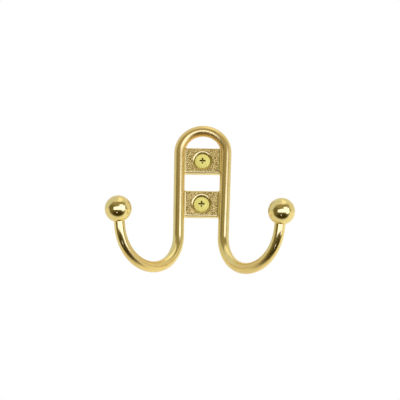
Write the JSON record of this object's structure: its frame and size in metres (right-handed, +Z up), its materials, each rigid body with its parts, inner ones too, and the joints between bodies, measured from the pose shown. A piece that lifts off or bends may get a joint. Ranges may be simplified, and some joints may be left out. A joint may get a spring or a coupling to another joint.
{
  "type": "double robe hook",
  "caption": "Wall-mounted robe hook of round brass-plated rod, with an arched backbone, screwed cross plates and splayed arms that end in balls.",
  "frame": {"origin": "on the wall plane, half-way between the two screw holes, where the flat back of the casting meets the wall", "axes": "+Z up the wall, +Y into the wall along the screws, +X to the right for someone who faces the hook; the arms reach out towards -Y"},
  "size_m": [0.0806, 0.0503, 0.0729],
  "materials": {
    "plated_casting": "polished brass plating over a zinc die casting; the recessed cross plates keep the grain of the casting",
    "plated_screw": "bright yellow brass plating on steel"
  },
  "bodies": {
    "root": {"hook_casting": "plated_casting", "mounting_screws": "plated_screw"}
  },
  "joints": []
}
